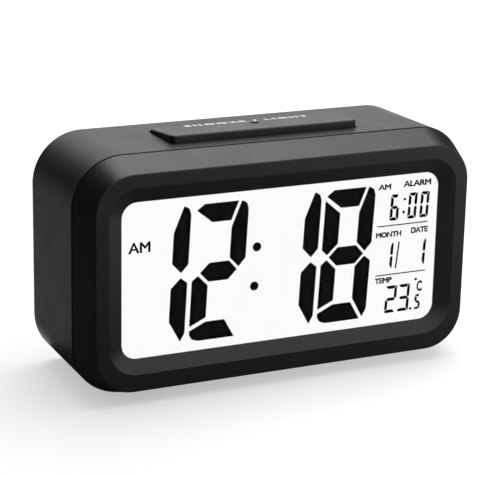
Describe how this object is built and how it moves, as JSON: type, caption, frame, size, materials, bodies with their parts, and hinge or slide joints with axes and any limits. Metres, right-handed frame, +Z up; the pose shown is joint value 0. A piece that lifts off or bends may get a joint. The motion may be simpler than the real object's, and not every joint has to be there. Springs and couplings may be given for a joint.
{
  "type": "digital alarm clock",
  "caption": "Battery-powered desk alarm clock: black two-part case, wide white LCD with time, alarm, date and temperature, wedge snooze bar on top, keys and battery door behind.",
  "frame": {"origin": "middle of the clock's outline, on the surface that its feet stand on", "axes": "+X to the right as one faces the display, +Y to the back, +Z up; the display faces -Y"},
  "size_m": [0.135, 0.048, 0.0789],
  "materials": {
    "case_plastic": "fine moulded satin, near black",
    "bezel_plastic": "fine moulded satin, near black",
    "bar_plastic": "fine moulded satin, near black",
    "key_plastic": "moulded satin, near black",
    "clear_acrylic": "clear, polished",
    "front_film": "pale neutral film",
    "lcd_glass": "clear, polished",
    "dark_crystal": "black, even",
    "half_mirror_film": "white, even",
    "guide_acrylic": "clear, polished",
    "led_resin": "pale yellow resin",
    "white_film": "white",
    "white_plastic": "moulded white",
    "strip_rubber": "banded grey",
    "screw_steel": "zinc plated",
    "board_resin": "green solder mask",
    "chip_epoxy": "black, smooth",
    "crystal_can": "plated can",
    "capacitor_sleeve": "shrunk sleeve",
    "resistor_ceramic": "dark glaze",
    "smoked_acrylic": "smoked, polished",
    "pad_rubber": "conductive, matt",
    "foot_rubber": "matt",
    "sensor_resin": "clear resin",
    "switch_plastic": "moulded",
    "stem_plastic": "moulded",
    "switch_steel": "bright plated",
    "thermistor_epoxy": "dipped",
    "sounder_brass": "rolled",
    "sounder_ceramic": "silvered",
    "lead_vinyl": "black vinyl",
    "red_vinyl": "red vinyl",
    "ribbon_vinyl": "grey vinyl",
    "spring_steel": "drawn wire",
    "contact_steel": "nickel plated",
    "cell_jacket": "printed sleeve"
  },
  "bodies": {
    "root": {"backlight_frame": "white_plastic", "backlight_leds": "led_resin", "battery_lead_minus": "lead_vinyl", "battery_lead_plus": "red_vinyl", "board_screws": "screw_steel", "capacitor": "capacitor_sleeve", "case_screws": "screw_steel", "cell_bottom": "cell_jacket", "cell_middle": "cell_jacket", "cell_top": "cell_jacket", "chip_resistors": "resistor_ceramic", "clock_chip": "chip_epoxy", "contact_link_left": "contact_steel", "contact_link_right": "contact_steel", "contact_minus": "contact_steel", "contact_plus": "contact_steel", "contact_strip": "strip_rubber", "display_screws": "screw_steel", "display_window": "clear_acrylic", "front_bezel": "bezel_plastic", "key_board": "board_resin", "key_ribbon": "ribbon_vinyl", "key_switches": "switch_plastic", "lcd_front_glass": "lcd_glass", "lcd_front_polariser": "front_film", "lcd_rear_glass": "lcd_glass", "lcd_rear_polariser": "half_mirror_film", "lcd_segments": "dark_crystal", "light_guide": "guide_acrylic", "light_sensor": "sensor_resin", "main_board": "board_resin", "rear_case": "case_plastic", "reflector_film": "white_film", "rubber_feet": "foot_rubber", "slide_switch": "switch_steel", "snooze_board": "board_resin", "snooze_ribbon": "ribbon_vinyl", "snooze_spring_left": "spring_steel", "snooze_spring_right": "spring_steel", "sounder_disc": "sounder_brass", "sounder_element": "sounder_ceramic", "sounder_leads": "lead_vinyl", "thermistor": "thermistor_epoxy", "watch_crystal": "crystal_can"},
    "snooze": {"snooze_bar": "bar_plastic", "sensor_lens": "smoked_acrylic", "snooze_pad": "pad_rubber"},
    "sensor_knob": {"slide_knob": "key_plastic"},
    "door": {"battery_door": "case_plastic"},
    "mode_key": {"key_mode": "key_plastic", "stem_mode": "stem_plastic"},
    "set_key": {"key_set": "key_plastic", "stem_set": "stem_plastic"},
    "up_key": {"key_up": "key_plastic", "stem_up": "stem_plastic"},
    "down_key": {"key_down": "key_plastic", "stem_down": "stem_plastic"},
    "alarm_key": {"key_alarm": "key_plastic", "stem_alarm": "stem_plastic"}
  },
  "joints": [
    {"name": "snooze_press", "type": "slide", "parent": "root", "child": "snooze", "axis": [0, 0, -1], "range_m": [0, 0.001], "stiffness_N_per_m": 800, "springref_m": -0.002, "deforming": ["snooze_spring_left", "snooze_spring_right"]},
    {"name": "mode_press", "type": "slide", "parent": "root", "child": "mode_key", "axis": [0, -1, 0], "range_m": [0, 0.0003], "stiffness_N_per_m": 2000, "springref_m": -0.0005},
    {"name": "set_press", "type": "slide", "parent": "root", "child": "set_key", "axis": [0, -1, 0], "range_m": [0, 0.0003], "stiffness_N_per_m": 2000, "springref_m": -0.0005},
    {"name": "up_press", "type": "slide", "parent": "root", "child": "up_key", "axis": [0, -1, 0], "range_m": [0, 0.0003], "stiffness_N_per_m": 2000, "springref_m": -0.0005},
    {"name": "down_press", "type": "slide", "parent": "root", "child": "down_key", "axis": [0, -1, 0], "range_m": [0, 0.0003], "stiffness_N_per_m": 2000, "springref_m": -0.0005},
    {"name": "alarm_press", "type": "slide", "parent": "root", "child": "alarm_key", "axis": [0, -1, 0], "range_m": [0, 0.0003], "stiffness_N_per_m": 2000, "springref_m": -0.0005},
    {"name": "sensor_slide", "type": "slide", "parent": "root", "child": "sensor_knob", "axis": [1, 0, 0], "range_m": [0, 0.002]},
    {"name": "door_open", "type": "hinge", "parent": "root", "child": "door", "pos_m": [0, 0.024, 0.0083], "axis": [-1, 0, 0], "range_deg": [0, 100]}
  ]
}
